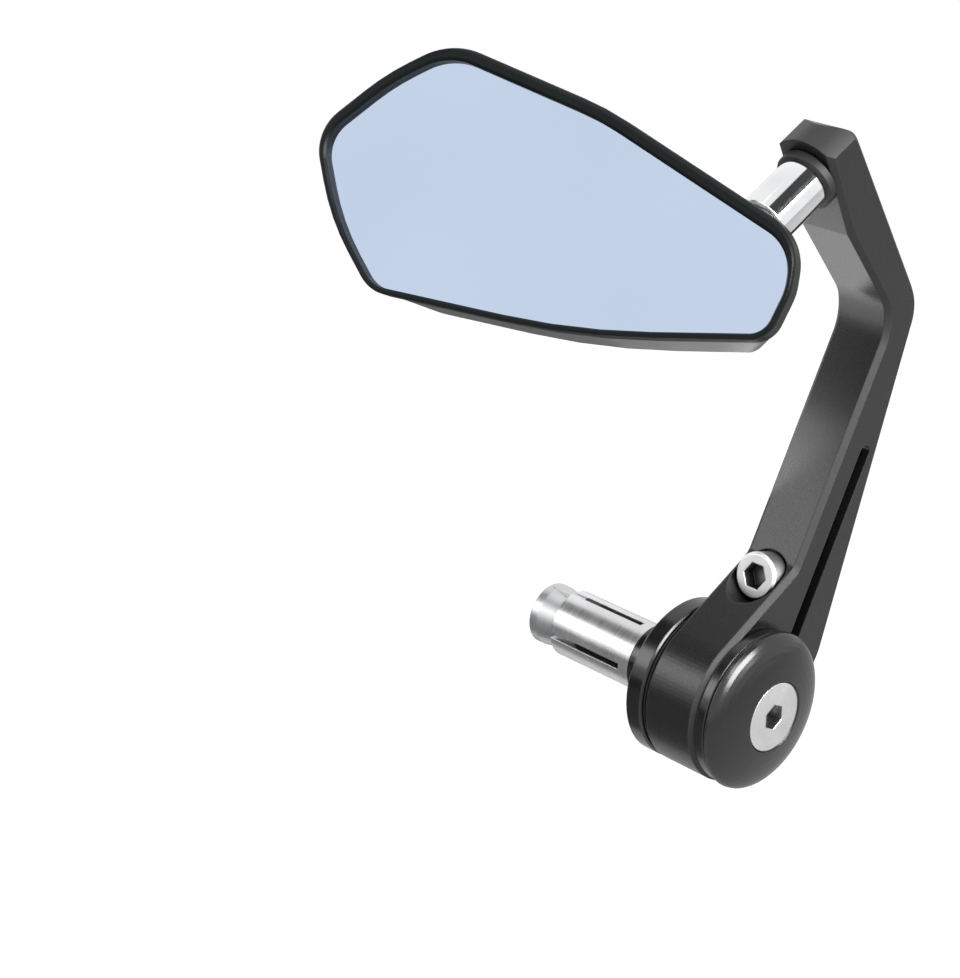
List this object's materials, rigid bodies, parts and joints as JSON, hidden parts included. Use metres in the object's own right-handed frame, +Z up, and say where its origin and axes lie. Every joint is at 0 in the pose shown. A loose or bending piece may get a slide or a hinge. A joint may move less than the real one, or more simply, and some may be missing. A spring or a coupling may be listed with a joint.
{
  "type": "handlebar-end mirror",
  "caption": "Angular rear-view mirror on a cranked, clamped arm with an expanding plug for the end of a motorcycle handlebar.",
  "frame": {"origin": "on the handlebar's axis, in the plane where the bar's end meets the flange", "axes": "+X runs outboard along the handlebar, -Y points back at the rider, +Z is up"},
  "size_m": [0.0976, 0.0952, 0.1462],
  "materials": {
    "black_turned": "turned, black anodised, gloss",
    "black_milled": "milled, black anodised, satin, with polished edges",
    "bare_aluminium": "turned, bare",
    "satin_shell": "satin, silver anodised",
    "bright_steel": "stainless, lightly brushed",
    "zinc_steel": "zinc plated",
    "black_steel": "black oxide",
    "chrome": "polished chrome",
    "black_plastic": "moulded, black",
    "pale_plastic": "moulded, natural white, slippery",
    "seal_rubber": "closed foam, black",
    "mirror_glass": "faintly blue silvered glass",
    "black_bezel": "black anodised, satin"
  },
  "bodies": {
    "plug": {"hub": "black_turned", "expander_sleeve": "bare_aluminium", "cone_nut": "zinc_steel", "thrust_washer": "black_plastic", "end_cap": "black_turned", "cap_screw": "bright_steel"},
    "arm": {"arm": "black_milled", "pinch_screw": "bright_steel"},
    "stem": {"stem": "chrome", "stem_collar": "black_plastic", "stem_screw": "black_steel", "stem_washer": "zinc_steel", "ball_stud": "zinc_steel"},
    "liner": {"ball_liner": "pale_plastic"},
    "head": {"rear_shell": "satin_shell", "socket_ring": "black_turned", "rim_seal": "seal_rubber", "backing_plate": "black_plastic", "plate_screws": "black_steel", "glass_pad": "seal_rubber", "mirror_glass": "mirror_glass", "bezel": "black_bezel"}
  },
  "joints": [
    {"name": "arm_turn", "type": "hinge", "parent": "plug", "child": "arm", "pos_m": [0.01155, 0, 0], "axis": [1, 0, 0], "continuous": true},
    {"name": "stem_turn", "type": "hinge", "parent": "arm", "child": "stem", "pos_m": [0.01155, 0.0187, 0.10635], "axis": [0, -0.9041, -0.4274], "range_deg": [-40, 40]},
    {"name": "head_tilt", "type": "hinge", "parent": "stem", "child": "liner", "pos_m": [0.01155, -0.00481, 0.09524], "axis": [0.9397, 0.342, 0], "range_deg": [-14, 14]},
    {"name": "head_pan", "type": "hinge", "parent": "liner", "child": "head", "pos_m": [0.01155, -0.00481, 0.09524], "axis": [-0.1499, 0.4119, 0.8988], "range_deg": [-14, 14]}
  ]
}
